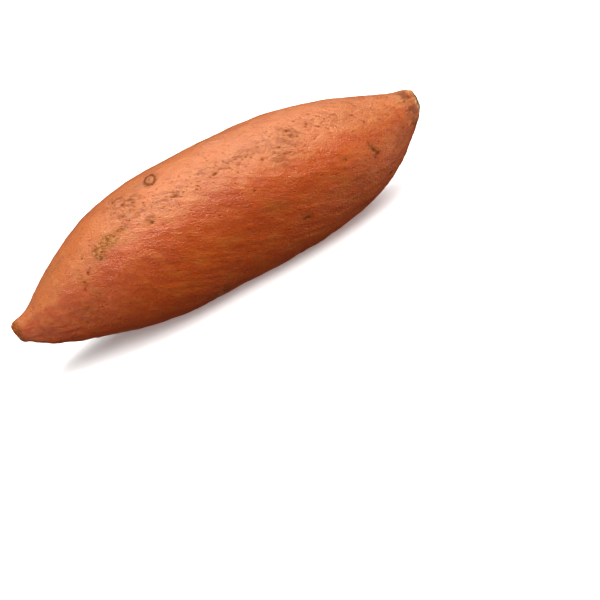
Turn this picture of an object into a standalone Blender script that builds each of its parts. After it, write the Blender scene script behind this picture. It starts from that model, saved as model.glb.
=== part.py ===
"""A whole raw sweet potato: one tuber, lying on the small flat spot that it rests on.

+X runs from the root tip to the stem end and +Z is up. The origin is on the surface
that the tuber lies on, under the middle of its bounding box. Sizes are in metres and
angles in radians.
"""

import math

import bmesh
import bpy
from mathutils import Matrix, Vector

# Overall sizes.
LENGTH = 0.200  # from the root tip to the stem scar, along the tuber
BODY_HEIGHT = 0.0634  # of the fattest section
BODY_DEPTH = 0.0609  # of the same section, side to side
BULGE_FROM_ROOT = 0.082  # where that section is, from the root tip

# Taper: the higher the number, the longer the half stays fat before it narrows.
ROOT_FULLNESS = 1.9
STEM_FULLNESS = 3.8

# Ends.
ROOT_TIP_RADIUS = 0.0026
ROOT_TIP_ROUNDING = 0.0028  # length over which the root tip is rounded off
STEM_SCAR_RADIUS = 0.0034
STEM_SCAR_ROUNDING = 0.0010  # the same at the stem scar, which is a blunt face

# Spine: it dips towards each end and then turns up to it. The powers say how soon it does, over the
# share of the way from the bulge to the end: the higher, the later.
ROOT_DIP = 0.0045
ROOT_DIP_POWER = 4
ROOT_TURN_POWER = 12
STEM_DIP = 0.0044
STEM_DIP_POWER = 1.6
STEM_TURN_POWER = 8
STEM_RISE = 0.0004  # how far the stem scar ends up above the root tip
SIDE_BOW = 0.0020  # how far the middle bows out sideways, towards -Y

# Broad lobes that run the length of the tuber and twist slowly round it.
LOBES = 3
LOBE_HEIGHT = 0.0005
LOBE_TWIST = 1.1  # from end to end

# Flat spot that the tuber rests on.
FLAT_DEPTH = 0.0005  # cut off the lowest point

# Fineness of the surface.
SEGMENTS_AROUND = 44
SEGMENTS_ALONG = 60
END_CROWDING = 0.8  # 0 spaces the rings evenly, 1 as closely at the ends as on a sphere
SHARP_EDGE = math.radians(40)  # steeper edges than this stay sharp when shaded

# Search for the pitch at which the tuber comes to lie.
STEEPEST_PITCH = math.radians(12)
PITCH_STEP = math.radians(0.1)

SKIN_COLOUR = (0.49, 0.13, 0.045, 1.0)
SKIN_ROUGHNESS = 0.55


def half_share(x):
    """How far x is out from the bulge towards its own end, from 0 to 1, and whether that is the root's."""
    if x < BULGE_FROM_ROOT:
        return 1 - x / BULGE_FROM_ROOT, True
    return (x - BULGE_FROM_ROOT) / (LENGTH - BULGE_FROM_ROOT), False


def end_rounding(distance, rounding):
    """1 on the body, falling to 0 on a quarter ellipse over the last stretch before an end."""
    left = 1 - min(distance / rounding, 1.0)
    return math.sqrt(max(0.0, 1 - left * left))


def section_radius(x, body_radius):
    """Radius of the section at x, where the fattest section's is body_radius."""
    share, towards_root = half_share(x)
    end_radius = ROOT_TIP_RADIUS if towards_root else STEM_SCAR_RADIUS
    fullness = ROOT_FULLNESS if towards_root else STEM_FULLNESS
    radius = end_radius + (body_radius - end_radius) * (1 - share**fullness)
    return radius * end_rounding(x, ROOT_TIP_ROUNDING) * end_rounding(LENGTH - x, STEM_SCAR_ROUNDING)


def dip(share, dip_power, turn_power):
    """0 at the bulge and at the end, and 1 where the dip is deepest."""
    deepest = (dip_power / turn_power) ** (1 / (turn_power - dip_power))
    return (share**dip_power - share**turn_power) / (deepest**dip_power - deepest**turn_power)


def spine_point(x):
    """Centre of the section at x."""
    share, towards_root = half_share(x)
    if towards_root:
        height = -ROOT_DIP * dip(share, ROOT_DIP_POWER, ROOT_TURN_POWER)
    else:
        rise = STEM_RISE * share**STEM_TURN_POWER
        height = rise - STEM_DIP * dip(share, STEM_DIP_POWER, STEM_TURN_POWER)
    return Vector((x, -SIDE_BOW * math.sin(math.pi * x / LENGTH), height))


def station(share):
    """Distance from the root tip of the ring at this share of the way over the sphere."""
    as_on_sphere = (1 - math.cos(math.pi * share)) / 2
    return LENGTH * (share + (as_on_sphere - share) * END_CROWDING)


def tuber_point(x, around):
    """Point of the skin at x, at this angle round the spine from +Y towards +Z."""
    share, _ = half_share(x)
    lobe = LOBE_HEIGHT * math.cos(LOBES * around + LOBE_TWIST * x / LENGTH) * (1 - share**2)
    across = section_radius(x, BODY_DEPTH / 2) + lobe
    up = section_radius(x, BODY_HEIGHT / 2) + lobe
    return spine_point(x) + Vector((0.0, across * math.cos(around), up * math.sin(around)))


def clear_scene():
    for obj in list(bpy.data.objects):
        bpy.data.objects.remove(obj, do_unlink=True)


def shape_tuber(mesh):
    """Draws a ball out into the tuber: its poles become the root tip and the stem scar."""
    bmesh.ops.create_uvsphere(mesh, u_segments=SEGMENTS_AROUND, v_segments=SEGMENTS_ALONG, radius=1.0)
    for vertex in mesh.verts:
        x, y, z = vertex.co
        over_sphere = math.acos(max(-1.0, min(1.0, -z))) / math.pi
        vertex.co = tuber_point(station(over_sphere), math.atan2(y, x))
    bmesh.ops.recalc_face_normals(mesh, faces=mesh.faces)


def centre_of_mass(mesh):
    """Centre of a closed mesh's volume, summed over the pyramids from the origin to its triangles."""
    volume = 0.0
    moment = Vector()
    for corners in mesh.calc_loop_triangles():
        first, second, third = (corner.vert.co for corner in corners)
        pyramid = first.dot(second.cross(third)) / 6
        volume += pyramid
        moment += pyramid * (first + second + third) / 4
    return moment / volume


def lay_down(mesh):
    """Pitches the tuber to where its centre of mass is lowest, which is how it comes to lie."""
    centre = centre_of_mass(mesh)

    def height(pitch):
        turn = Matrix.Rotation(pitch, 3, "Y")
        return (turn @ centre).z - min((turn @ vertex.co).z for vertex in mesh.verts)

    steps = round(STEEPEST_PITCH / PITCH_STEP)
    pitch = min((step * PITCH_STEP for step in range(-steps, steps + 1)), key=height)
    bmesh.ops.rotate(mesh, verts=mesh.verts, cent=(0.0, 0.0, 0.0), matrix=Matrix.Rotation(pitch, 3, "Y"))


def cut_flat_spot(mesh):
    """Slices the underside off level and closes it with one flat face."""
    level = min(vertex.co.z for vertex in mesh.verts) + FLAT_DEPTH
    cut = bmesh.ops.bisect_plane(
        mesh,
        geom=mesh.verts[:] + mesh.edges[:] + mesh.faces[:],
        plane_co=(0.0, 0.0, level),
        plane_no=(0.0, 0.0, -1.0),
        clear_outer=True,
    )
    rim = [part for part in cut["geom_cut"] if isinstance(part, bmesh.types.BMEdge)]
    bmesh.ops.contextual_create(mesh, geom=rim)
    bmesh.ops.recalc_face_normals(mesh, faces=mesh.faces)


def stand_on_origin(mesh):
    """Moves the tuber so that the middle of its bounding box's underside is the origin."""
    low = Vector([min(vertex.co[axis] for vertex in mesh.verts) for axis in range(3)])
    high = Vector([max(vertex.co[axis] for vertex in mesh.verts) for axis in range(3)])
    middle = (low + high) / 2
    bmesh.ops.translate(mesh, verts=mesh.verts, vec=(-middle.x, -middle.y, -low.z))


def skin_material():
    """Dry copper-red skin, with the soft shine of its natural wax."""
    material = bpy.data.materials.new("sweet_potato_skin")
    material.use_nodes = True
    shader = material.node_tree.nodes["Principled BSDF"]
    shader.inputs["Base Color"].default_value = SKIN_COLOUR
    shader.inputs["Roughness"].default_value = SKIN_ROUGHNESS
    shader.inputs["Metallic"].default_value = 0.0
    return material


def make_tuber(collection):
    shape = bmesh.new()
    shape_tuber(shape)
    lay_down(shape)
    cut_flat_spot(shape)
    stand_on_origin(shape)
    mesh = bpy.data.meshes.new("sweet_potato")
    shape.to_mesh(mesh)
    shape.free()
    mesh.shade_smooth()
    mesh.set_sharp_from_angle(angle=SHARP_EDGE)
    mesh.materials.append(skin_material())
    tuber = bpy.data.objects.new("sweet_potato", mesh)
    collection.objects.link(tuber)
    return tuber


def main():
    clear_scene()
    collection = bpy.data.collections.new("sweet_potato")
    bpy.context.scene.collection.children.link(collection)
    make_tuber(collection)


main()
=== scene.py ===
"""The looks of a whole raw sweet potato: its skin, its scars and the stage it lies on.

The tuber's form comes from the loaded frame. Everything here is in metres unless a name says
mm, with +X from the root tip to the stem end, -Y the side that is seen first and +Z up. Places
on the skin are given as a share of the length from the root tip, and degrees round the tuber
from the side that is seen first, up over the top.
"""

import math

import bpy
import numpy as np
from mathutils import Matrix, Vector, noise
from mathutils.bvhtree import BVHTree


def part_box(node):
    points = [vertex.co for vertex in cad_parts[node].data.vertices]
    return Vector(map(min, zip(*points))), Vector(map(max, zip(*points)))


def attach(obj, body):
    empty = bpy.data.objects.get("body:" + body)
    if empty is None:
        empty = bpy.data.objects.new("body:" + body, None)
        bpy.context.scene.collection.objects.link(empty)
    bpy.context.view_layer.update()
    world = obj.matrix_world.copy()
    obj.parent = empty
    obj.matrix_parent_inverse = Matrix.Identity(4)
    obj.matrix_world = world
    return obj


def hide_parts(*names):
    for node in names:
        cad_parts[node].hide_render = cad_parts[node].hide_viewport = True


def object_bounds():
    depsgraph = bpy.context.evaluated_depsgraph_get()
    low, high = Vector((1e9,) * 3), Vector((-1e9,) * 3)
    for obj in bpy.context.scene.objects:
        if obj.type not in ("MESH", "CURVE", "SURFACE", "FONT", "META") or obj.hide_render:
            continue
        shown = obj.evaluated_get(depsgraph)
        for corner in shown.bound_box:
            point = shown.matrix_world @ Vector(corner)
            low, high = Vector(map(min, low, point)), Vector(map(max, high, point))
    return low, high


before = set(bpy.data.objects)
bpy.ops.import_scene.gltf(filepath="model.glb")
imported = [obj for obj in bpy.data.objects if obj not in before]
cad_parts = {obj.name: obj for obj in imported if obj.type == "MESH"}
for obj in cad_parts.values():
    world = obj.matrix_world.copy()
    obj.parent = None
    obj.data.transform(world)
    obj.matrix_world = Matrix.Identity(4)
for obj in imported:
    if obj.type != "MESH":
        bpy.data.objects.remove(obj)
CAD_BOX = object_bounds()

bl_info = {
    "name": "Sweet Potato",
    "version": (1, 0, 0),
    "blender": (4, 5, 0),
    "location": "3D View > Sidebar > Sweet Potato",
    "description": "Grows a raw sweet potato's skin over its plain solid, and lights it",
    "category": "Object",
}

MM = 0.001

# Fineness of the skin: 0.5 mm round the tuber and 0.9 mm along it, because its wrinkles run along it.
BODY_RINGS = 222
CAP_RINGS = 15
POINTS_AROUND = 384
CAP_INSET = 4.0 * MM  # from each end to the point that its cap is seen from

# How widely the plain solid's facets are blurred away.
SPINE_BLUR = 5  # rings
AROUND_BLUR = 0.07  # radians
ALONG_BLUR = 3  # rings
CAP_JOIN_BLUR = 2.5  # rings over which the body's blur fades out before each cap

# The fibres of the skin wind slowly round the tuber as they run along it.
FIBRE_TWIST = -15.0  # radians a metre

# How much each end's face leans, as the tangent of the angle, and how far from the end it starts to.
STEM_TILT = 0.08
ROOT_TILT = 0.1
TILT_START = 7 * MM
TILT_FULL = 2 * MM

SETTLED = 0.45 * MM  # how far the skin is pressed flat where it rests
OUT_OF_REACH = 99.0  # stands for the distance to a scar on the other side of the tuber
LARGEST_EYE_DISTANCE = 6.0  # where the colour stops following the distance from a root eye

# Soft noises of the relief: the places they are read at, how much those are squeezed along the tuber so
# that the forms come out long, the forms' width in mm, octaves, and a shift that makes each its own.
NOISES = {
    "lumps": ("places_mm", 1.0, 34.0, 2, 0.0),
    "small_lumps": ("places_mm", 1.0, 13.0, 2, 40.0),
    "ripples": ("grown_mm", 0.6, 5.0, 2, 31.0),
    "wrinkles": ("grown_mm", 0.18, 2.4, 2, 7.0),
    "grain": ("grown_mm", 0.4, 1.6, 2, 90.0),
    "flakes": ("places_mm", 1.0, 1.3, 2, 20.0),
    "torn_edge": ("places_mm", 1.0, 3.0, 2, 55.0),
    "torn_face": ("places_mm", 1.0, 1.5, 3, 60.0),
    "stained_edge": ("places_mm", 1.0, 2.2, 2, 33.0),
    "root_knobs": ("places_mm", 1.0, 1.7, 2, 66.0),
}
SMALL_LUMPS_SHARE = 0.32  # of the broad lumps' height
RIPPLES_SHARE = 0.30

# Where the skin wrinkles: everywhere a little, and more near the ends and on the root's underside.
WRINKLED_EVERYWHERE = 0.6
WRINKLED_NEAR_ROOT = 0.5
WRINKLED_UNDER_ROOT = 1.5
WRINKLED_NEAR_STEM = 0.7
ROOT_REACH = 34 * MM
STEM_REACH = 26 * MM
UNDERSIDE = (-0.3, 0.5)  # how far down the skin faces, where the underside starts and where it is full
CRAZED_GRAIN = 1.2  # how much higher the grain of crazed skin is

# Profile of a root eye: how far out and how wide, in the eye's size, and how high, in the scars' depth.
EYE_PROFILE = (
    (1.0, 0.3, -0.45),  # the groove of the ring
    (0.0, 0.6, 0.25),  # the corky middle
    (0.0, 2.2, -0.4),  # the dimple that it stands in
)
NICK_DEPTH = 0.7  # these three in the scars' depth too
DIMPLE_DEPTH = 0.45
RUSSET_HEIGHT = 0.22
RUSSET_EVENNESS = 0.4  # the higher, the less the flakes change the russet's height

# Stem scar: a torn lip round it, a faint groove behind and a torn face. A span is where a thing starts and
# where it is full. Spans and places are distances from the end.
LIP_SPAN = (12.0 * MM, 2.0 * MM)
LIP_HEIGHT = 1.0 * MM
LIP_RAGGEDNESS = 0.7 * MM
GROOVE_PLACE = 6.5 * MM
GROOVE_WIDTH = 1.8 * MM
GROOVE_DEPTH = 0.08 * MM
TORN_SPAN = (4.5 * MM, 0.8 * MM)
TORN_HEIGHT = 0.45 * MM

# Root tip: a knobbly nub that is thicker below, and a groove behind it.
NUB_SPAN = (8.0 * MM, 2.5 * MM)
NUB_HEIGHT = 0.25 * MM
NUB_HEIGHT_BELOW = 0.15 * MM
NUB_LOWER = (-0.4, 0.8)  # how far down the skin faces, where the thicker part starts and where it is full
ROOT_GROOVE_PLACE = 5.0 * MM
ROOT_GROOVE_WIDTH = 1.5 * MM
ROOT_GROOVE_DEPTH = 0.25 * MM
KNOBS_SPAN = (6.0 * MM, 2.0 * MM)
KNOBS_HEIGHT = 0.3 * MM

# Stains: the stem scar's torn rim, the collar behind it, the broken face in its middle, and the root tip.
STAIN_RAGGEDNESS = 0.8 * MM
RIM_SPAN = (2.8 * MM, 1.4 * MM)
COLLAR_PLACE = 4.6 * MM
COLLAR_WIDTH = 2.4 * MM
FACE_SPAN = (1.5 * MM, 0.5 * MM)
TIP_SPAN = (6.0 * MM, 1.6 * MM)

# Painted light: the upper side, where the overhead light falls, is painted paler. The way that its middle
# faces, and how nearly that way the skin has to face, out of 1, before it starts to pale.
PAINTED_LIGHT_SIDE = (0.0, -0.35, 0.94)
PAINTED_LIGHT_START = 0.66


# Colours and shapes that the skin, its material and the stage share.


def linear(hex_colour):
    """An sRGB colour such as "c86a3e" as linear red, green, blue and alpha."""
    shares = [int(hex_colour[start : start + 2], 16) / 255 for start in (0, 2, 4)]
    bent = [share / 12.92 if share <= 0.04045 else ((share + 0.055) / 1.055) ** 2.4 for share in shares]
    return (*bent, 1.0)


def smooth_step(values, start, end):
    """0 before start and 1 after end, with a soft bend at both."""
    share = np.clip((values - start) / (end - start), 0.0, 1.0)
    return share * share * (3 - 2 * share)


def bell(values):
    """1 at 0, falling off softly on both sides to about nothing at 2."""
    return np.exp(-values * values)


def blurred(values, width, axis, wraps):
    """values averaged along an axis with a bell as wide as width, in steps of the grid."""
    reach = int(math.ceil(3 * width))
    weights = bell(np.arange(-reach, reach + 1) / (width * math.sqrt(2)))
    weights /= weights.sum()
    moved = np.moveaxis(values, axis, 0)
    edges = [(reach, reach)] + [(0, 0)] * (moved.ndim - 1)
    padded = np.pad(moved, edges, mode="wrap" if wraps else "edge")
    total = sum(weight * padded[step : step + len(moved)] for step, weight in enumerate(weights))
    return np.moveaxis(total, 0, axis)


def clouds(places_mm, size_mm, octaves=3, shift=0.0):
    """Soft noise from about -1 to 1, with blotches of this size, at each place."""
    scaled = places_mm.reshape(-1, 3) / size_mm + shift
    values = [noise.fractal(Vector(place), 1.0, 2.0, octaves) for place in scaled]
    return np.array(values).reshape(places_mm.shape[:-1])


# Scars of the skin. Each is (share of the length, degrees round, length in mm, width in mm,
# turn in degrees away from lying along the tuber, strength from 0 to 1).

# Where a thick feeder root grew: a round corky eye in a dark ring.
ROOT_EYES = [
    (0.420, 75, 2.3, 3.1, 0, 0.8),
]

# Where a fine root grew or the skin cracked: a dark nick in a shallow dimple.
NICKS = [
    (0.385, 39, 0.8, 0.7, 0, 0.85),
    (0.383, 44, 1.6, 1.2, 40, 0.35),
    (0.255, 37, 0.9, 0.7, 0, 0.80),
    (0.215, 33, 1.0, 0.7, 90, 0.75),
    (0.198, 27, 1.0, 0.6, 80, 0.55),
    (0.194, 21, 1.0, 0.6, 70, 0.60),
    (0.328, 75, 1.1, 0.7, 30, 0.75),
    (0.346, 67, 1.2, 0.8, 20, 0.70),
    (0.368, 63, 1.1, 0.8, 40, 0.75),
    (0.372, 70, 1.3, 0.5, 60, 0.55),
    (0.324, 65, 0.9, 0.6, 0, 0.55),
    (0.346, 51, 0.8, 0.6, 20, 0.60),
    (0.333, 50, 0.9, 0.6, 60, 0.50),
    (0.328, 57, 0.9, 0.6, 0, 0.50),
    (0.450, 49, 1.7, 0.5, 15, 0.80),
    (0.459, 50, 1.0, 0.4, 20, 0.70),
    (0.420, 38, 0.9, 0.4, 0, 0.50),
    (0.493, 52, 1.1, 0.4, 25, 0.60),
    (0.515, 55, 1.1, 0.5, 30, 0.55),
    (0.546, 50, 1.3, 0.7, 0, 0.80),
    (0.563, 52, 1.8, 0.5, 25, 0.75),
    (0.598, 54, 1.0, 0.7, 60, 0.60),
    (0.611, 51, 1.0, 0.5, 10, 0.55),
    (0.624, 53, 0.9, 0.5, 0, 0.60),
    (0.654, 59, 1.0, 0.5, 0, 0.65),
    (0.654, 43, 1.0, 0.5, 0, 0.50),
    (0.602, 23, 0.5, 0.5, 0, 1.00),
    (0.719, 60, 1.1, 0.7, 20, 0.80),
    (0.724, 55, 0.9, 0.6, 40, 0.65),
    (0.732, 60, 0.9, 0.5, 0, 0.60),
    (0.733, 52, 0.9, 0.6, 0, 0.55),
    (0.763, 60, 0.9, 0.7, 0, 0.70),
    (0.689, 48, 0.9, 0.6, 0, 0.70),
    (0.693, 44, 1.1, 0.6, 0, 0.55),
    (0.765, 44, 1.6, 0.5, -30, 0.55),
    (0.802, 60, 0.7, 0.5, 0, 0.65),
    (0.863, 60, 1.3, 0.5, -20, 0.55),
    (0.880, 54, 1.3, 0.5, -20, 0.55),
    (0.798, 13, 1.1, 0.8, 40, 0.60),
    (0.858, 16, 1.3, 0.6, 75, 0.75),
    (0.863, 7, 1.4, 0.8, 60, 0.85),
    (0.867, 0, 1.3, 0.7, 20, 0.85),
    (0.859, -2, 1.0, 0.6, 80, 0.70),
    (0.676, -18, 1.5, 0.9, 20, 0.85),
    (0.666, -17, 1.0, 0.7, 0, 0.60),
    (0.876, -40, 1.2, 0.9, 0, 0.80),
    (0.828, -18, 1.0, 0.6, 30, 0.50),
    (0.976, 66, 1.3, 0.6, 80, 0.70),
    (0.982, 57, 1.2, 0.7, 60, 0.80),
    (0.980, 74, 1.1, 0.6, 80, 0.60),
    (0.945, 78, 1.2, 0.5, 70, 0.60),
    (0.955, 55, 1.0, 0.5, 70, 0.55),
    (0.120, 20, 0.7, 0.5, 60, 0.40),
]

# Broad swellings, whose strength is their height in mm.
SWELLINGS = [
    (0.300, 85, 18.0, 16.0, 0, 1.0),
    (0.550, 88, 9.0, 9.0, 0, 0.8),
    (0.800, 14, 16.0, 10.0, 0, 1.3),
    (0.010, -60, 6.0, 4.0, 0, 0.25),
]

# Rough tan patches where the skin was rubbed or grew corky.
RUSSET = [
    (0.260, 43, 4.2, 3.8, 0, 1.0),
    (0.287, 46, 5.6, 3.6, 5, 1.0),
    (0.318, 48, 4.4, 1.6, 10, 0.8),
]

# Brownish smudges, and skin that is crazed with fine cracks and pores.
SMUDGES = [
    (0.335, 73, 6.0, 4.0, 10, 0.70),
    (0.366, 66, 5.0, 3.0, 30, 0.75),
    (0.350, 57, 7.0, 4.0, 0, 0.60),
    (0.420, 71, 4.0, 2.0, 0, 0.60),
    (0.455, 50, 7.0, 2.0, 5, 0.50),
    (0.610, 53, 9.0, 2.5, 5, 0.55),
    (0.385, 42, 2.6, 2.4, 0, 0.90),
    (0.200, 29, 6.5, 1.8, 78, 0.60),
    (0.725, 57, 6.0, 4.5, 10, 0.60),
    (0.682, 38, 5.0, 4.0, 60, 0.65),
    (0.862, 7, 4.6, 2.6, 75, 0.80),
    (0.798, 13, 1.8, 1.6, 0, 0.80),
    (0.543, 51, 2.6, 2.0, 0, 0.50),
    (0.972, 60, 4.0, 5.0, 0, 0.60),
    (0.930, -10, 7.0, 9.0, 0, 0.50),
    (0.070, 10, 9.0, 9.0, 0, 0.40),
    (0.170, -5, 8.0, 5.0, 20, 0.60),
    (0.210, 12, 6.0, 3.0, 80, 0.50),
    (0.672, -17, 3.0, 2.2, 0, 0.80),
    (0.600, -30, 14.0, 5.0, 20, 0.30),
    (0.820, -15, 9.0, 7.0, 20, 0.35),
]
CRAZED = [
    (0.430, 51, 19.0, 4.5, 4, 1.0),
    (0.345, 66, 9.0, 8.0, 5, 1.0),
    (0.340, 53, 6.0, 4.0, 5, 0.8),
    (0.570, 54, 18.0, 4.5, 3, 1.0),
    (0.700, 55, 14.0, 8.0, 5, 1.0),
    (0.800, 58, 12.0, 6.0, 5, 0.9),
    (0.890, 50, 14.0, 12.0, 0, 0.6),
    (0.230, 36, 12.0, 9.0, 60, 0.45),
]

# Olive-yellow tinges, where the skin is thin over paler flesh.
TINGES = [
    (0.628, 5, 9.0, 5.0, 10, 0.50),
    (0.395, 76, 7.0, 2.6, 15, 0.65),
    (0.145, 70, 12.0, 3.0, 5, 0.5),
    (0.560, 84, 8.0, 3.0, 5, 0.4),
    (0.700, 46, 12.0, 8.0, 0, 0.30),
    (0.275, 52, 9.0, 6.0, 10, 0.15),
]

# The side that is turned away is scarred too, in the loose rows that feeder roots grow in.
FAR_ROWS = (125, 168, 205, 250, 295)
FAR_SCARS_A_ROW = 6
FAR_SEED = 11
FIRST_FAR_SHARE = 0.09  # where the rows start, as a share of the length
FAR_LENGTH = 0.84  # how much of the length they run over
ROW_WANDER = 9  # how far a scar strays from its row, in degrees
FAR_SIZES = (0.7, 1.4)
FAR_TURNS = (50, 130)
FAR_STRENGTHS = (0.5, 1.0)
EYE_CHANCE = 0.13  # that a scar is an eye and not a nick
SMUDGE_CHANCE = 0.6
CRAZED_CHANCE = 0.4

# Kinds of far scar: length and width in mm where the size is 1, and how much further it is turned.
FAR_KINDS = {
    "eye": (2.0, 1.8, 0),
    "nick": (1.2, 0.6, 0),
    "small nick": (0.8, 0.5, 25),
    "smudge": (4.0, 3.0, -90),
    "crazed": (14.0, 6.0, -90),
}
BESIDE = (0.007, 5)  # from a nick to the small one beside it, in shares and degrees
FAINTER = 0.7  # how strong the small nick and the smudge are beside the nick
EYE_STRENGTH = 0.8
CRAZED_STRENGTH = 0.9

# Each far row's russet patch.
PATCH_SHARES = (0.15, 0.85)
PATCH_WANDER = 14
PATCH_LENGTHS = (3, 5)
PATCH_WIDTH = 2.2
PATCH_STRENGTH = 0.9


def far_scar(kind, place, size, turn, strength):
    """A scar of this kind, written as in the lists above."""
    length, width, further = FAR_KINDS[kind]
    return (*place, length * size, width * size, turn + further, strength)


def far_scars():
    """Eyes, nicks, patches, smudges and crazed skin for the side that is turned away."""
    dice = np.random.default_rng(FAR_SEED)
    scars = {"eyes": [], "nicks": [], "russet": [], "smudges": [], "crazed": []}
    for row in FAR_ROWS:
        for step in range(FAR_SCARS_A_ROW):
            share = FIRST_FAR_SHARE + FAR_LENGTH * (step + dice.uniform(0.1, 0.9)) / FAR_SCARS_A_ROW
            degrees = row + dice.normal(0, ROW_WANDER)
            size = dice.uniform(*FAR_SIZES)
            turn = dice.uniform(*FAR_TURNS)
            strength = dice.uniform(*FAR_STRENGTHS)
            place = (share, degrees)
            if dice.random() < EYE_CHANCE:
                scars["eyes"].append(far_scar("eye", place, size, turn, EYE_STRENGTH))
            else:
                scars["nicks"].append(far_scar("nick", place, size, turn, strength))
                beside = (share + BESIDE[0] * size, degrees + BESIDE[1])
                scars["nicks"].append(far_scar("small nick", beside, size, turn, strength * FAINTER))
            if dice.random() < SMUDGE_CHANCE:
                scars["smudges"].append(far_scar("smudge", place, size, turn, strength * FAINTER))
            if dice.random() < CRAZED_CHANCE:
                scars["crazed"].append(far_scar("crazed", place, size, turn, CRAZED_STRENGTH))
        middle = (dice.uniform(*PATCH_SHARES), row + dice.normal(0, PATCH_WANDER))
        scars["russet"].append((*middle, dice.uniform(*PATCH_LENGTHS), PATCH_WIDTH, turn, PATCH_STRENGTH))
    return scars


class SkinForm:
    """The tuber's smooth surface as a grid of points, read from its plain solid"""

    def __init__(self, solid):
        mesh = solid.data
        faces = [tuple(face.vertices) for face in mesh.polygons]
        self.tree = BVHTree.FromPolygons([vertex.co.copy() for vertex in mesh.vertices], faces)
        self.low, self.high = (np.array(corner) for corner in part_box(solid.name))
        self.read_spine()
        self.read_surface()

    def distance(self, start, direction):
        """How far the plain solid's skin is from a point inside it, in this direction."""
        distance = self.tree.ray_cast(Vector(start), Vector(direction))[3]
        if distance is None:
            raise RuntimeError(f"no skin seen from {tuple(start)} towards {tuple(direction)}")
        return distance

    def read_spine(self):
        """Finds the middle of every body ring's section, from the middle of the tuber outwards."""
        stations = np.linspace(self.low[0] + CAP_INSET, self.high[0] - CAP_INSET, BODY_RINGS)
        self.spine = np.zeros((BODY_RINGS, 3))
        self.spine[:, 0] = stations
        middle = BODY_RINGS // 2
        for ring in list(range(middle, BODY_RINGS)) + list(range(middle - 1, -1, -1)):
            if ring == middle:
                guess = (self.low + self.high) / 2
            else:
                guess = self.spine[ring - 1 if ring > middle else ring + 1].copy()
            guess[0] = stations[ring]
            for axis in (2, 1, 2):
                step = np.eye(3)[axis]
                guess[axis] += (self.distance(guess, step) - self.distance(guess, -step)) / 2
            self.spine[ring] = guess
        for axis in (1, 2):
            self.spine[:, axis] = blurred(self.spine[:, axis], SPINE_BLUR, 0, False)

    def read_surface(self):
        """Measures the solid in each direction, and blurs its facets away."""
        root_cap = np.linspace(-90, 0, CAP_RINGS, endpoint=False)[1:]
        stem_cap = np.linspace(90, 0, CAP_RINGS, endpoint=False)[:0:-1]
        pitch = np.radians(np.concatenate([root_cap, np.zeros(BODY_RINGS), stem_cap]))
        nearest_ring = np.clip(np.arange(len(pitch)) - len(root_cap), 0, BODY_RINGS - 1)
        self.centres = self.spine[nearest_ring]
        around = np.linspace(0, 2 * math.pi, POINTS_AROUND, endpoint=False)
        outwards = np.stack([np.zeros(POINTS_AROUND), -np.cos(around), np.sin(around)], axis=1)
        along = np.array([1.0, 0.0, 0.0])
        self.directions = np.sin(pitch)[:, None, None] * along + np.cos(pitch)[:, None, None] * outwards
        rings = zip(self.centres, self.directions)
        seen = np.array([[self.distance(centre, towards) for towards in ring] for centre, ring in rings])
        seen = blurred(seen, AROUND_BLUR * POINTS_AROUND / (2 * math.pi), 1, True)
        body = blurred((pitch == 0).astype(float), CAP_JOIN_BLUR, 0, False)[:, None]
        self.reach = seen * (1 - body) + blurred(seen, ALONG_BLUR, 0, False) * body
        self.points = self.centres[:, None, :] + self.directions * self.reach[..., None]
        self.share = (self.points[..., 0] - self.low[0]) / (self.high[0] - self.low[0])

    def place(self, share, degrees):
        """The grid's ring and point nearest to a place on the skin."""
        point = int(round(degrees / 360 * POINTS_AROUND)) % POINTS_AROUND
        ring = int(np.argmin(np.abs(self.share[:, point] - share)))
        return ring, point

    def spread(self, scar):
        """How far each point is from a scar's middle, where 1 is the scar's edge."""
        share, degrees, length, width, turn, _ = scar
        ring, point = self.place(share, degrees)
        offset = self.points - self.points[ring, point]
        outward = self.directions[ring, point]
        across = np.cross([1.0, 0.0, 0.0], outward)
        across /= np.linalg.norm(across)
        along = np.cross(outward, across)
        turned = math.radians(turn)
        first = math.cos(turned) * along + math.sin(turned) * across
        second = math.cos(turned) * across - math.sin(turned) * along
        behind = self.directions @ outward < 0
        squared = (offset @ first / (length * MM)) ** 2 + (offset @ second / (width * MM)) ** 2
        return np.where(behind, OUT_OF_REACH, np.sqrt(squared))

    def twisted(self):
        """The points in mm, untwisted so that the fibres run straight along the first axis."""
        x, y, z = np.moveaxis(self.points / MM, -1, 0)
        turn = FIBRE_TWIST * self.points[..., 0]
        middle = self.spine[:, 1:].mean(axis=0) / MM
        y, z = y - middle[0], z - middle[1]
        across = y * np.cos(turn) - z * np.sin(turn)
        up = y * np.sin(turn) + z * np.cos(turn)
        return np.stack([x, across, up], axis=-1)


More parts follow.
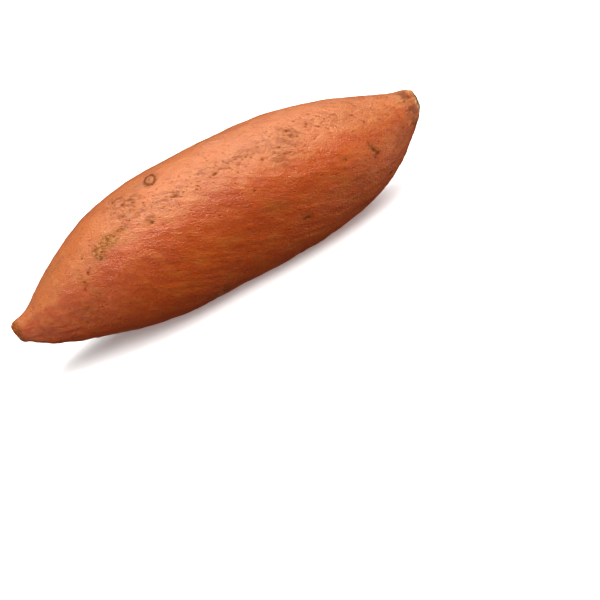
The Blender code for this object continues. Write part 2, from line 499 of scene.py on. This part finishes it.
class SkinRelief:
    """What stands out of the smooth surface or is sunk in it, and what each point is coloured by"""

    def __init__(self, form, settings):
        self.form = form
        self.settings = settings
        self.places_mm = form.points / MM
        self.grown_mm = form.twisted()
        far = far_scars()
        self.eye = np.minimum.reduce([form.spread(scar) for scar in ROOT_EYES + far["eyes"]])
        self.nick = self.strongest(NICKS + far["nicks"], 1.0)
        self.dimple = self.strongest(NICKS + far["nicks"], 2.0)
        self.russet = self.strongest(RUSSET + far["russet"], 1.0)
        self.smudge = self.strongest(SMUDGES + far["smudges"], 1.0)
        self.crazed = self.strongest(CRAZED + far["crazed"], 1.0)
        self.tinge = self.strongest(TINGES, 1.0)
        self.from_stem = form.high[0] - form.points[..., 0]
        self.from_root = form.points[..., 0] - form.low[0]

    def strongest(self, scars, widening):
        """The strongest of these scars at each point, each fading softly over widening times its size."""
        return np.maximum.reduce([scar[-1] * bell(self.form.spread(scar) / widening) for scar in scars])

    def noise(self, name):
        """One of the soft noises, from about -1 to 1 at each point."""
        read_at, squeeze, width, octaves, shift = NOISES[name]
        return clouds(getattr(self, read_at) * [squeeze, 1.0, 1.0], width, octaves, shift)

    def height(self):
        """Relief in metres at every point."""
        settings = self.settings
        near_root = bell(self.from_root / ROOT_REACH)
        near_stem = bell(self.from_stem / STEM_REACH)
        underside = smooth_step(-self.form.directions[..., 2], *UNDERSIDE)
        lumps = self.noise("lumps") + SMALL_LUMPS_SHARE * self.noise("small_lumps")
        lumps += RIPPLES_SHARE * self.noise("ripples")
        wrinkled = WRINKLED_EVERYWHERE + near_root * (WRINKLED_NEAR_ROOT + WRINKLED_UNDER_ROOT * underside)
        wrinkled += near_stem * WRINKLED_NEAR_STEM
        wrinkles = self.noise("wrinkles") * wrinkled
        grain = self.noise("grain") * (1 + CRAZED_GRAIN * self.crazed)
        swellings = sum(scar[-1] * MM * bell(self.form.spread(scar)) for scar in SWELLINGS)
        return (
            swellings
            + lumps * settings.lump_height
            + wrinkles * settings.wrinkle_height
            + grain * settings.grain_height
            + self.scar_height()
            + self.end_height()
        )

    def scar_height(self):
        """The ringed eyes, the nicks in their dimples and the flaky russet."""
        eyes = sum(high * bell((self.eye - out) / wide) for out, wide, high in EYE_PROFILE)
        russet = RUSSET_HEIGHT * self.russet * (RUSSET_EVENNESS + self.noise("flakes"))
        scars = eyes - NICK_DEPTH * self.nick - DIMPLE_DEPTH * self.dimple + russet
        return self.settings.scar_depth * scars

    def end_height(self):
        """The stem scar's torn lip and face, the root tip's knobbly nub, and the groove behind each."""
        torn_edge = self.from_stem + self.noise("torn_edge") * LIP_RAGGEDNESS
        lip = smooth_step(torn_edge, *LIP_SPAN) * LIP_HEIGHT
        groove = bell((torn_edge - GROOVE_PLACE) / GROOVE_WIDTH) * GROOVE_DEPTH
        face = smooth_step(self.from_stem, *TORN_SPAN)
        torn = self.noise("torn_face") * TORN_HEIGHT * face
        lower = smooth_step(-self.form.directions[..., 2], *NUB_LOWER)
        nub = smooth_step(self.from_root, *NUB_SPAN) * (NUB_HEIGHT + NUB_HEIGHT_BELOW * lower)
        root_groove = bell((self.from_root - ROOT_GROOVE_PLACE) / ROOT_GROOVE_WIDTH) * ROOT_GROOVE_DEPTH
        tip = smooth_step(self.from_root, *KNOBS_SPAN)
        knobs = self.noise("root_knobs") * KNOBS_HEIGHT * tip
        return lip - groove + torn + nub - root_groove + knobs

    def values(self):
        """What the material reads at each point, by name."""
        stained_edge = self.from_stem + self.noise("stained_edge") * STAIN_RAGGEDNESS
        return {
            "eye": np.clip(self.eye, 0, LARGEST_EYE_DISTANCE),
            "nick": self.nick,
            "dimple": self.dimple,
            "russet": self.russet,
            "smudge": self.smudge,
            "crazed": self.crazed,
            "tinge": self.tinge,
            "stem_lip": smooth_step(stained_edge, *RIM_SPAN),
            "stem_collar": bell((stained_edge - COLLAR_PLACE) / COLLAR_WIDTH),
            "stem_face": smooth_step(self.from_stem, *FACE_SPAN),
            "root_tip": smooth_step(self.from_root, *TIP_SPAN),
            "along": self.form.share,
            # painted light: paler towards the upper side, where the overhead light falls
            "dried": smooth_step(self.form.directions @ PAINTED_LIGHT_SIDE, PAINTED_LIGHT_START, 1.0),
        }


def skin_mesh(form, relief):
    """The finished skin: the grid with its relief, closed by a point at each end."""
    reach = form.reach + relief.height()
    points = form.centres[:, None, :] + form.directions * reach[..., None]
    rings = len(points)
    tips = [form.centres[0] - [reach[0].mean(), 0, 0], form.centres[-1] + [reach[-1].mean(), 0, 0]]
    vertices = fitted(tilted(np.concatenate([points.reshape(-1, 3), tips]), form), form)
    grid = np.arange(rings * POINTS_AROUND).reshape(rings, POINTS_AROUND)
    following = np.roll(grid, -1, axis=1)
    quads = np.stack([grid[:-1], grid[1:], following[1:], following[:-1]], axis=-1).reshape(-1, 4)
    root_tip = rings * POINTS_AROUND
    stem_tip = root_tip + 1
    root_ring = zip(grid[0].tolist(), following[0].tolist())
    stem_ring = zip(grid[-1].tolist(), following[-1].tolist())
    faces = quads.tolist()
    faces += [(root_tip, first, second) for first, second in root_ring]
    faces += [(stem_tip, second, first) for first, second in stem_ring]
    mesh = bpy.data.meshes.new("tuber_skin")
    mesh.from_pydata(vertices.tolist(), [], faces)
    mesh.shade_smooth()
    for name, values in relief.values().items():
        layer = mesh.attributes.new(name, "FLOAT", "POINT")
        ends = [values[0].mean(), values[-1].mean()]
        layer.data.foreach_set("value", np.concatenate([values.ravel(), ends]).astype(np.float32))
    grown = relief.grown_mm.reshape(-1, 3) * MM
    ends = [relief.grown_mm[0].mean(axis=0) * MM, relief.grown_mm[-1].mean(axis=0) * MM]
    layer = mesh.attributes.new("grown", "FLOAT_VECTOR", "POINT")
    layer.data.foreach_set("vector", np.concatenate([grown, ends]).astype(np.float32).ravel())
    mesh.update()
    return mesh


def tilted(vertices, form):
    """The vertices with each end's face leaning a little, as it broke off."""
    near_stem = smooth_step(vertices[:, 0], form.high[0] - TILT_START, form.high[0] - TILT_FULL)
    near_root = smooth_step(vertices[:, 0], form.low[0] + TILT_START, form.low[0] + TILT_FULL)
    vertices[:, 0] += near_stem * (vertices[:, 2] - form.spine[-1, 2]) * STEM_TILT
    vertices[:, 0] += near_root * (vertices[:, 2] - form.spine[0, 2]) * ROOT_TILT
    return vertices


def fitted(vertices, form):
    """The vertices stretched by a hair to fill the solid's box, then pressed flat where they rest."""
    low, high = vertices.min(axis=0), vertices.max(axis=0)
    vertices = form.low + (vertices - low) / (high - low) * (form.high - form.low)
    raised = np.maximum(0.0, vertices[:, 2] - form.low[2] - SETTLED)
    vertices[:, 2] = form.low[2] + raised * (form.high[2] - form.low[2]) / raised.max()
    return vertices


# Materials.


def add_node(tree, kind, inputs=None, **settings):
    """Adds a node with its settings. An input is found by name or number, and gets a value or a link."""
    node = tree.nodes.new(kind)
    for name, value in settings.items():
        setattr(node, name, value)
    for key, value in (inputs or {}).items():
        if isinstance(key, int):
            socket = node.inputs[key]
        else:
            socket = next(socket for socket in node.inputs if socket.enabled and socket.name == key)
        if isinstance(value, bpy.types.Node):
            value = next(output for output in value.outputs if output.enabled)
        if isinstance(value, bpy.types.NodeSocket):
            tree.links.new(value, socket)
        else:
            socket.default_value = value
    return node


# Fine patterns of the skin: width in mm, how many times longer along the fibres, octaves, roughness.
PATTERNS = {
    "drift": (26.0, 1.6, 2.0, 0.5),  # slow changes of hue, as wide as a thumb
    "mottle": (5.5, 1.6, 4.0, 0.6),
    "blotches": (2.2, 1.7, 3.0, 0.6),
    "fibres": (0.6, 2.8, 3.0, 0.65),  # really 0.3 mm, drawn coarser so that they show
    "grain": (0.8, 1.3, 3.0, 0.7),  # cork cells are far finer, so this is drawn as their clumps
    "flakes": (1.1, 1.2, 4.0, 0.7),
    "ragged": (2.4, 1.0, 4.0, 0.7),
}

PATTERN_SHIFT = 0.31  # metres from one pattern's place in the noise to the next one's

# Pores: name, distance from one to the next in mm, width in mm, the share of them that plain skin shows.
PORES = (
    ("fine_pores", 1.4, 0.7, 0.10),
    ("wide_pores", 2.8, 1.0, 0.07),
)
PORE_SHAKE = 1.0 * MM  # size of the noise that makes the pores' outlines uneven
PORE_SHIFT = (1.6 * MM, 0.7 * MM, 0.7 * MM)  # how far it moves them
PORE_SQUEEZE = 0.75  # less than 1 draws them out along the tuber
CRAZED_PORES = 0.75  # the share of them that crazed skin shows besides
PORE_RIM = (1.35, 0.4)  # where a pore starts and is full, in its half width

# Marks that the finished skin's points carry.
MARKS = (
    "eye", "nick", "dimple", "russet", "smudge", "crazed", "tinge",
    "stem_lip", "stem_collar", "stem_face", "root_tip", "along", "dried",
)


def skin_sources(tree):
    """The marks and fine patterns that the skin's colour and relief are made from, by name."""
    sources = {}
    for name in MARKS:
        sources[name] = add_node(tree, "ShaderNodeAttribute", attribute_name=name).outputs["Fac"]
    grown = add_node(tree, "ShaderNodeAttribute", attribute_name="grown").outputs["Vector"]
    for number, (name, (width, stretch, octaves, roughness)) in enumerate(PATTERNS.items()):
        shift = (number * PATTERN_SHIFT, 0.0, 0.0)
        squeeze = (1 / stretch, 1.0, 1.0)
        place = add_node(tree, "ShaderNodeMapping", {"Vector": grown, "Location": shift, "Scale": squeeze})
        sources[name] = add_node(
            tree,
            "ShaderNodeTexNoise",
            {"Vector": place, "Scale": 1 / (width * MM), "Detail": octaves, "Roughness": roughness},
        ).outputs["Fac"]
    shaken = add_node(tree, "ShaderNodeTexNoise", {"Vector": grown, "Scale": 1 / PORE_SHAKE, "Detail": 2.0})
    shake = add_node(
        tree,
        "ShaderNodeVectorMath",
        {0: shaken.outputs["Color"], 1: PORE_SHIFT, 2: grown},
        operation="MULTIPLY_ADD",
    )
    place = add_node(tree, "ShaderNodeMapping", {"Vector": shake, "Scale": (PORE_SQUEEZE, 1.0, 1.0)})
    for name, spacing, width, plain_share in PORES:
        sources[name] = pores(tree, place, spacing, width, plain_share, sources["crazed"])
    return sources


def pores(tree, place, spacing, width, plain_share, crazed):
    """Dots this wide and about spacing apart, in mm: few show on plain skin and most on crazed skin."""
    cells = add_node(tree, "ShaderNodeTexVoronoi", {"Vector": place, "Scale": 1 / (spacing * MM)})
    lottery = add_node(tree, "ShaderNodeSeparateColor", {"Color": cells.outputs["Color"]})
    shares = {0: crazed, 1: CRAZED_PORES, 2: plain_share}
    crowding = add_node(tree, "ShaderNodeMath", shares, operation="MULTIPLY_ADD")
    shown = add_node(tree, "ShaderNodeMath", {0: lottery, 1: crowding}, operation="LESS_THAN")
    half_width = width / spacing / 2
    start, full = (half_width * share for share in PORE_RIM)
    dot = add_node(
        tree,
        "ShaderNodeMapRange",
        {"Value": cells.outputs["Distance"], "From Min": start, "From Max": full},
        interpolation_type="SMOOTHSTEP",
    )
    return add_node(tree, "ShaderNodeMath", {0: dot, 1: shown}, operation="MULTIPLY").outputs[0]


# Products that the layers need: name, the two sources that are multiplied.
PRODUCTS = (
    ("rubbed_flakes", "russet_edge", "flakes_edge"),
    ("rubbed_specks", "russet_edge", "speckles"),
    ("patchy_smudge", "smudge", "blotch_edge"),
    ("ring", "ring_outer", "ring_inner"),
    ("ring_dots", "ring", "blotch_edge"),
    ("patchy_lip", "stem_lip", "flakes_edge"),
    ("patchy_collar", "stem_collar", "blotch_edge"),
    ("patchy_tip", "root_tip", "flakes_edge"),
    ("crazed_flakes", "crazed", "flecks"),
    ("crazed_specks", "crazed", "specks"),
    ("crazed_blotches", "crazed", "blotch_edge"),
)

# Sources cut to an edge: name, the source, the noise that makes it ragged, how much it does, where the edge
# starts and where it is full.
EDGES = (
    # painted light: the ragged edge of the upper side that is painted paler
    ("painted_top_light_edge", "dried", "mottle", 1.4, 0.00, 1.00),
    ("russet_edge", "russet", "flakes", 1.6, 0.22, 0.75),
    ("nick_edge", "nick", "grain", 1.6, 0.30, 0.62),
    ("dimple_edge", "dimple", "flakes", 1.6, 0.30, 1.00),
    ("ring_outer", "eye", "flakes", -1.3, 1.32, 1.05),
    ("ring_inner", "eye", "flakes", -1.3, 0.72, 0.95),
    ("eye_middle", "eye", "flakes", -0.7, 0.95, 0.60),
    ("eye_pit", "eye", "flakes", -0.3, 0.40, 0.15),
    ("eye_halo", "eye", "ragged", -0.7, 2.20, 1.10),
    ("flakes_edge", "flakes", "ragged", 0.0, 0.40, 0.60),
    ("flecks", "flakes", "ragged", 0.0, 0.56, 0.70),
    ("specks", "flakes", "grain", 0.6, 0.50, 0.38),
    ("speckles", "flakes", "grain", 1.0, 0.56, 0.40),
    ("blotch_edge", "blotches", "ragged", 0.0, 0.60, 0.40),
)

# Layers of colour, from the lowest: the colour's setting, the source, where it starts, where it is full and
# how much of the colour it then gives.
LAYERS = (
    ("red_blush", "drift", 0.44, 0.62, 0.60),
    ("tan", "along", 0.60, 0.95, 0.35),
    ("red_blush", "along", 0.40, 0.10, 0.25),
    ("tan", "mottle", 0.48, 0.64, 0.50),
    ("red_blush", "mottle", 0.50, 0.36, 0.42),
    # painted light: the upper side painted paler, as if lit from above
    ("pale_fleck_and_painted_light", "painted_top_light_edge", 0.00, 1.00, 0.46),
    ("olive", "blotches", 0.54, 0.70, 0.12),
    ("red_blush", "blotches", 0.48, 0.34, 0.45),
    ("olive", "tinge", 0.05, 1.00, 0.75),
    ("red_blush", "fibres", 0.50, 0.72, 0.30),
    ("pale_fleck_and_painted_light", "fibres", 0.44, 0.28, 0.22),
    ("pale_fleck_and_painted_light", "grain", 0.56, 0.76, 0.35),
    ("scar_brown", "grain", 0.44, 0.26, 0.30),
    ("olive", "smudge", 0.05, 1.00, 0.40),
    ("scar_brown", "patchy_smudge", 0.05, 1.00, 0.55),
    ("pale_fleck_and_painted_light", "crazed_flakes", 0.10, 0.90, 0.45),
    ("scar_brown", "crazed_specks", 0.10, 0.90, 0.40),
    ("scar_brown", "crazed_blotches", 0.10, 0.90, 0.32),
    ("scar_brown", "fine_pores", 0.00, 1.00, 0.30),
    ("scar_brown", "wide_pores", 0.00, 1.00, 0.48),
    ("olive", "russet_edge", 0.00, 1.00, 0.08),
    ("cork", "rubbed_flakes", 0.00, 1.00, 0.75),
    ("scar_brown", "rubbed_specks", 0.00, 1.00, 0.72),
    ("scar_brown", "eye_halo", 0.00, 1.00, 0.32),
    ("cork", "eye_middle", 0.00, 1.00, 0.12),
    ("scar_brown", "ring", 0.00, 1.00, 0.62),
    ("broken_skin", "ring_dots", 0.00, 1.00, 0.75),
    ("scar_brown", "eye_pit", 0.00, 1.00, 0.70),
    ("scar_brown", "dimple_edge", 0.00, 1.00, 0.50),
    ("broken_skin", "nick_edge", 0.00, 1.00, 0.70),
    ("olive", "stem_collar", 0.00, 1.00, 0.35),
    ("scar_brown", "patchy_collar", 0.00, 1.00, 0.75),
    ("olive", "stem_lip", 0.00, 1.00, 0.40),
    ("torn_rim", "patchy_lip", 0.00, 1.00, 0.80),
    ("broken_skin", "stem_face", 0.00, 1.00, 0.80),
    ("olive", "root_tip", 0.00, 1.00, 0.60),
    ("scar_brown", "patchy_tip", 0.00, 1.00, 0.80),
)

# Where the skin has lost its wax.
WORN = (
    "russet_edge", "nick_edge", "dimple_edge", "patchy_smudge",
    "stem_lip", "root_tip", "fine_pores", "wide_pores", "ring",
)

ROUGHNESS_CHANGE = 0.06  # how much the grain changes the plain skin's roughness, either way
GRAIN_RANGE = (0.3, 0.7)  # the grain where the skin is smoothest and where it is roughest
WAX_IOR = 1.5
BLOOM_ROUGHNESS = 0.5

# What the fine relief is made of: the source and how far it stands out, as a share of the bump's height.
RELIEF = (
    ("fibres", 0.7),
    ("grain", 1.2),
    ("flakes", 0.35),
    ("fine_pores", -0.55),
    ("wide_pores", -0.8),
    ("rubbed_flakes", 0.5),
    ("ring", -0.5),
)


def skin_material(settings):
    """Sweet potato skin, a dry corky periderm grown over the root and cured after digging.

    It gives a copper-orange, half-matt surface with fine fibres winding along the root, small
    brown pores, tan russet where it was rubbed and a faint waxy gloss.
    """
    material = bpy.data.materials.new("cured_sweet_potato_skin")
    material.use_nodes = True
    tree = material.node_tree
    shader = tree.nodes["Principled BSDF"]
    sources = skin_sources(tree)
    for name, source, edge_noise, raggedness, start, full in EDGES:
        shift = add_node(tree, "ShaderNodeMath", {0: sources[edge_noise], 1: 0.5}, operation="SUBTRACT")
        shifted = {0: shift, 1: raggedness, 2: sources[source]}
        moved = add_node(tree, "ShaderNodeMath", shifted, operation="MULTIPLY_ADD")
        sources[name] = add_node(
            tree,
            "ShaderNodeMapRange",
            {"Value": moved, "From Min": start, "From Max": full},
            interpolation_type="SMOOTHSTEP",
        )
    for name, first, second in PRODUCTS:
        both = {0: sources[first], 1: sources[second]}
        sources[name] = add_node(tree, "ShaderNodeMath", both, operation="MULTIPLY")

    colour = tuple(settings.copper)
    for tint, source, start, full, amount in LAYERS:
        share = add_node(
            tree,
            "ShaderNodeMapRange",
            {"Value": sources[source], "From Min": start, "From Max": full, "To Max": amount},
            interpolation_type="SMOOTHSTEP",
        )
        mixed = {"Factor": share, 6: colour, 7: tuple(getattr(settings, tint))}
        colour = add_node(tree, "ShaderNodeMix", mixed, data_type="RGBA").outputs[2]
    tree.links.new(colour, shader.inputs["Base Color"])

    rough = add_node(
        tree,
        "ShaderNodeMapRange",
        {
            "Value": sources["grain"],
            "From Min": GRAIN_RANGE[0],
            "From Max": GRAIN_RANGE[1],
            "To Min": settings.skin_roughness - ROUGHNESS_CHANGE,
            "To Max": settings.skin_roughness + ROUGHNESS_CHANGE,
        },
    )
    worn = 0.0
    for source in WORN:
        worn = add_node(tree, "ShaderNodeMath", {0: worn, 1: sources[source]}, operation="MAXIMUM")
    for name, plain, on_worn in (
        ("Roughness", rough, settings.worn_roughness),
        ("Specular IOR Level", settings.gloss, settings.worn_gloss),
    ):
        mixed = add_node(tree, "ShaderNodeMix", {"Factor": worn, 2: plain, 3: on_worn}, data_type="FLOAT")
        tree.links.new(mixed.outputs[0], shader.inputs[name])

    relief = 0.0
    for source, height in RELIEF:
        added = {0: sources[source], 1: height, 2: relief}
        relief = add_node(tree, "ShaderNodeMath", added, operation="MULTIPLY_ADD")
    raised = {"Strength": 1.0, "Distance": settings.bump_height, "Height": relief}
    bump = add_node(tree, "ShaderNodeBump", raised)
    tree.links.new(bump.outputs[0], shader.inputs["Normal"])
    shader.inputs["IOR"].default_value = WAX_IOR
    shader.inputs["Sheen Weight"].default_value = settings.bloom
    shader.inputs["Sheen Roughness"].default_value = BLOOM_ROUGHNESS
    return material


def floor_material():
    """Matt seamless paper, which gives a plain pale ground with no gloss."""
    material = bpy.data.materials.new("matt_seamless_paper")
    material.use_nodes = True
    shader = material.node_tree.nodes["Principled BSDF"]
    shader.inputs["Base Color"].default_value = linear("f4f3f2")
    shader.inputs["Roughness"].default_value = 0.95
    shader.inputs["Specular IOR Level"].default_value = 0.0
    return material


SHARE = {"min": 0, "max": 1, "subtype": "FACTOR"}
COLOUR = {"size": 4, "min": 0, "max": 1, "subtype": "COLOR"}


class TuberSettings(bpy.types.PropertyGroup):
    """Heights of the skin's relief, and its gloss and colours"""

    lump_height: bpy.props.FloatProperty(
        name="Lumps", description="Height of the broad lumps", default=0.6 * MM, unit="LENGTH"
    )
    wrinkle_height: bpy.props.FloatProperty(
        name="Wrinkles",
        description="Height of the wrinkles along the root",
        default=0.26 * MM,
        unit="LENGTH",
    )
    grain_height: bpy.props.FloatProperty(
        name="Grain", description="Height of the skin's grain", default=0.07 * MM, unit="LENGTH"
    )
    scar_depth: bpy.props.FloatProperty(
        name="Scar depth", description="How deep a nick is", default=0.45 * MM, unit="LENGTH"
    )
    bump_height: bpy.props.FloatProperty(
        name="Fine relief", description="Height of the fibres and pores", default=0.42 * MM, unit="LENGTH"
    )
    skin_roughness: bpy.props.FloatProperty(
        name="Roughness", description="Roughness of the plain skin", default=0.38, **SHARE
    )
    worn_roughness: bpy.props.FloatProperty(
        name="Worn roughness", description="Roughness of scars", default=0.7, **SHARE
    )
    gloss: bpy.props.FloatProperty(name="Gloss", description="How shiny the wax is", default=0.8, **SHARE)
    worn_gloss: bpy.props.FloatProperty(
        name="Worn gloss", description="How shiny scars are", default=0.15, **SHARE
    )
    bloom: bpy.props.FloatProperty(
        name="Bloom", description="Dusty paleness at the edges", default=0.04, **SHARE
    )
    copper: bpy.props.FloatVectorProperty(
        name="Copper", description="Main colour", default=linear("cc5210"), **COLOUR
    )
    red_blush: bpy.props.FloatVectorProperty(
        name="Blush", description="Redder skin", default=linear("b84410"), **COLOUR
    )
    tan: bpy.props.FloatVectorProperty(
        name="Tan", description="Paler, more yellow skin", default=linear("d26a22"), **COLOUR
    )
    # Pale flecks of dry raised skin, and also the colour of the painted light on the upper side
    pale_fleck_and_painted_light: bpy.props.FloatVectorProperty(
        name="Pale fleck", description="Dry raised skin", default=linear("e08c4c"), **COLOUR
    )
    olive: bpy.props.FloatVectorProperty(
        name="Olive", description="Yellow-green tinge", default=linear("a06424"), **COLOUR
    )
    scar_brown: bpy.props.FloatVectorProperty(
        name="Scar brown", description="Pores and scars", default=linear("86380e"), **COLOUR
    )
    broken_skin: bpy.props.FloatVectorProperty(
        name="Broken skin", description="Deep nicks", default=linear("66300e"), **COLOUR
    )
    torn_rim: bpy.props.FloatVectorProperty(
        name="Torn rim", description="Dry rim of the stem scar", default=linear("ecce9c"), **COLOUR
    )
    cork: bpy.props.FloatVectorProperty(
        name="Cork", description="Rubbed and torn skin", default=linear("d89a5e"), **COLOUR
    )


class StageSettings(bpy.types.PropertyGroup):
    """The camera, the floor and the lights"""

    lens: bpy.props.FloatProperty(name="Lens", description="Focal length in mm", default=100.0)
    distance: bpy.props.FloatProperty(
        name="Distance", description="Camera to tuber", default=0.712, unit="LENGTH"
    )
    elevation: bpy.props.FloatProperty(
        name="Elevation", description="Camera above the horizon", default=math.radians(25), subtype="ANGLE"
    )
    roll: bpy.props.FloatProperty(
        name="Roll",
        description="Camera's turn about its own axis",
        default=math.radians(28.3),
        subtype="ANGLE",
    )
    aim_offset: bpy.props.FloatProperty(
        name="Aim offset",
        description="How far right of and below the tuber's middle the camera aims",
        default=36.5 * MM,
        unit="LENGTH",
    )
    floor_size: bpy.props.FloatProperty(
        name="Floor", description="Side of the floor", default=12.0, unit="LENGTH"
    )
    light_distance: bpy.props.FloatProperty(
        name="Light distance", description="From the tuber to each softbox", default=1.5, unit="LENGTH"
    )
    key_power: bpy.props.FloatProperty(
        name="Key power", description="Overhead softbox", default=18.4, unit="POWER"
    )
    shine_power: bpy.props.FloatProperty(
        name="Shine power", description="Hot strip of the overhead softbox", default=40.0, unit="POWER"
    )
    front_power: bpy.props.FloatProperty(
        name="Front power", description="Front softbox", default=17.4, unit="POWER"
    )
    left_power: bpy.props.FloatProperty(
        name="Left power", description="Low left softbox", default=9.5, unit="POWER"
    )
    right_power: bpy.props.FloatProperty(
        name="Right power", description="Right softbox", default=11.5, unit="POWER"
    )
    floor_power: bpy.props.FloatProperty(
        name="Floor power",
        description="Wide softbox that lights only the floor",
        default=85.0,
        unit="POWER",
    )
    shine_colour: bpy.props.FloatVectorProperty(
        name="Shine colour",
        description="Colour of the hot strip and of the left and right softboxes",
        default=linear("ffe6cc"),
        **COLOUR,
    )
    walls: bpy.props.FloatVectorProperty(
        name="Walls", description="Light of the pale walls", default=linear("3c3a38"), **COLOUR
    )
    glow_below: bpy.props.FloatVectorProperty(
        name="Glow below", description="Warm light from below", default=linear("0a0301"), **COLOUR
    )


class SWEETPOTATO_OT_tuber(bpy.types.Operator):
    """Grow the scarred skin over the tuber's plain solid"""

    bl_idname = "sweet_potato.tuber"
    bl_label = "Grow Tuber Skin"

    def execute(self, context):
        settings = context.scene.sweet_potato_tuber
        form = SkinForm(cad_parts["sweet_potato"])
        skin = bpy.data.objects.new("tuber_skin", skin_mesh(form, SkinRelief(form, settings)))
        skin.data.materials.append(skin_material(settings))
        context.scene.collection.objects.link(skin)
        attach(skin, "root")
        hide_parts("sweet_potato")
        return {"FINISHED"}


# Softboxes: name, degrees swung away from the camera, clock angle in degrees up from the view's right,
# width, and what each gives the skin. The key and the front one are polarised, so they only shade it. The
# shine is the hot strip in the middle of the key, which only shows as gloss. The left and right ones stand
# in for the light that a white table throws back, so the floor lets their light through.
SOFTBOXES = (
    ("key", 64, 108, 1.2, "shade"),
    ("shine", 71, 112, 0.6, "gloss"),
    ("front", 17, 120, 1.2, "shade"),
    ("left", 94, 219, 1.0, "both"),
    ("right", 92, 10, 1.0, "both"),
    ("floor", 65, 90, 3.0, "shade"),
)
HORIZON_SOFTNESS = 0.2  # how far up and down the walls' light and the glow below blend, out of 1


class SWEETPOTATO_OT_stage(bpy.types.Operator):
    """Lay the pale floor, hang the soft lights and set the camera"""

    bl_idname = "sweet_potato.stage"
    bl_label = "Set Stage"

    def execute(self, context):
        settings = context.scene.sweet_potato_stage
        turn = Matrix.Rotation(math.pi / 2 - settings.elevation, 3, "X")
        view = turn @ Matrix.Rotation(-settings.roll, 3, "Z")
        self.add_camera(context, settings, view)
        floor = self.add_floor(context, settings)
        self.add_softboxes(context, settings, view, floor)
        context.scene.world = self.studio_walls(settings)
        context.scene.view_settings.view_transform = "Standard"
        return {"FINISHED"}

    def add_camera(self, context, settings, view):
        """The camera looks past the tuber's middle, so that the tuber stands up and left of the middle."""
        low, high = (Vector(corner) for corner in CAD_BOX)
        right, up, back = view.col
        data = bpy.data.cameras.new("camera")
        data.lens = settings.lens
        data.sensor_width = 36.0
        camera = bpy.data.objects.new("camera", data)
        aim = (low + high) / 2 + (right - up) * settings.aim_offset
        camera.matrix_world = Matrix.Translation(aim + back * settings.distance) @ view.to_4x4()
        context.scene.collection.objects.link(camera)
        context.scene.camera = camera

    def add_floor(self, context, settings):
        """The floor shows, but throws no light or shadow: the side softboxes stand in for its light."""
        bpy.ops.mesh.primitive_plane_add(size=settings.floor_size)
        floor = context.active_object
        floor.name = "floor"
        floor.data.materials.append(floor_material())
        floor.visible_diffuse = False
        floor.visible_glossy = False
        floor.visible_shadow = False
        return floor

    def add_softboxes(self, context, settings, view, floor):
        """The lights hang round the camera's own view, all equally far from the tuber."""
        right, up, back = view.col
        for name, swing, clock, width, gives in SOFTBOXES:
            swing, clock = math.radians(swing), math.radians(clock)
            sideways = right * math.cos(clock) + up * math.sin(clock)
            direction = back * math.cos(swing) + sideways * math.sin(swing)
            data = bpy.data.lights.new(name, "AREA")
            data.shape = "DISK"
            data.size = width
            data.energy = getattr(settings, f"{name}_power")
            if gives != "shade":
                data.color = settings.shine_colour[:3]
            light = bpy.data.objects.new(name, data)
            light.location = direction * settings.light_distance
            light.rotation_euler = direction.to_track_quat("Z", "Y").to_euler()
            light.visible_diffuse = gives != "gloss"
            light.visible_glossy = gives != "shade"
            context.scene.collection.objects.link(light)
            if name == "floor":
                only_floor = bpy.data.collections.new("lit_by_floor_softbox")
                only_floor.objects.link(floor)
                light.light_linking.receiver_collection = only_floor
                light.light_linking.blocker_collection = only_floor

    def studio_walls(self, settings):
        """Pale walls above the floor, and a dim warm glow from below in place of the floor's own light."""
        world = bpy.data.worlds.new("studio")
        world.use_nodes = True
        tree = world.node_tree
        direction = add_node(tree, "ShaderNodeTexCoord").outputs["Generated"]
        height = add_node(tree, "ShaderNodeSeparateXYZ", {"Vector": direction}).outputs["Z"]
        soft = {"Value": height, "From Min": -HORIZON_SOFTNESS, "From Max": HORIZON_SOFTNESS}
        above = add_node(tree, "ShaderNodeMapRange", soft)
        shades = {"Factor": above, 6: tuple(settings.glow_below), 7: tuple(settings.walls)}
        mixed = add_node(tree, "ShaderNodeMix", shades, data_type="RGBA").outputs[2]
        tree.links.new(mixed, tree.nodes["Background"].inputs["Color"])
        return world


class SWEETPOTATO_PT_panel(bpy.types.Panel):
    """Lists the steps that make the sweet potato"""

    bl_label = "Sweet Potato"
    bl_idname = "SWEETPOTATO_PT_panel"
    bl_space_type = "VIEW_3D"
    bl_region_type = "UI"
    bl_category = "Sweet Potato"

    def draw(self, context):
        for operator, group in (("tuber", "sweet_potato_tuber"), ("stage", "sweet_potato_stage")):
            self.layout.operator(f"sweet_potato.{operator}")
            settings = getattr(context.scene, group)
            for name in settings.__annotations__:
                self.layout.prop(settings, name)


CLASSES = (TuberSettings, StageSettings, SWEETPOTATO_OT_tuber, SWEETPOTATO_OT_stage, SWEETPOTATO_PT_panel)


def register():
    for cls in CLASSES:
        bpy.utils.register_class(cls)
    bpy.types.Scene.sweet_potato_tuber = bpy.props.PointerProperty(type=TuberSettings)
    bpy.types.Scene.sweet_potato_stage = bpy.props.PointerProperty(type=StageSettings)


def unregister():
    del bpy.types.Scene.sweet_potato_stage
    del bpy.types.Scene.sweet_potato_tuber
    for cls in reversed(CLASSES):
        bpy.utils.unregister_class(cls)


def main():
    register()
    bpy.ops.sweet_potato.tuber()
    bpy.ops.sweet_potato.stage()


if __name__ == "__main__":
    main()
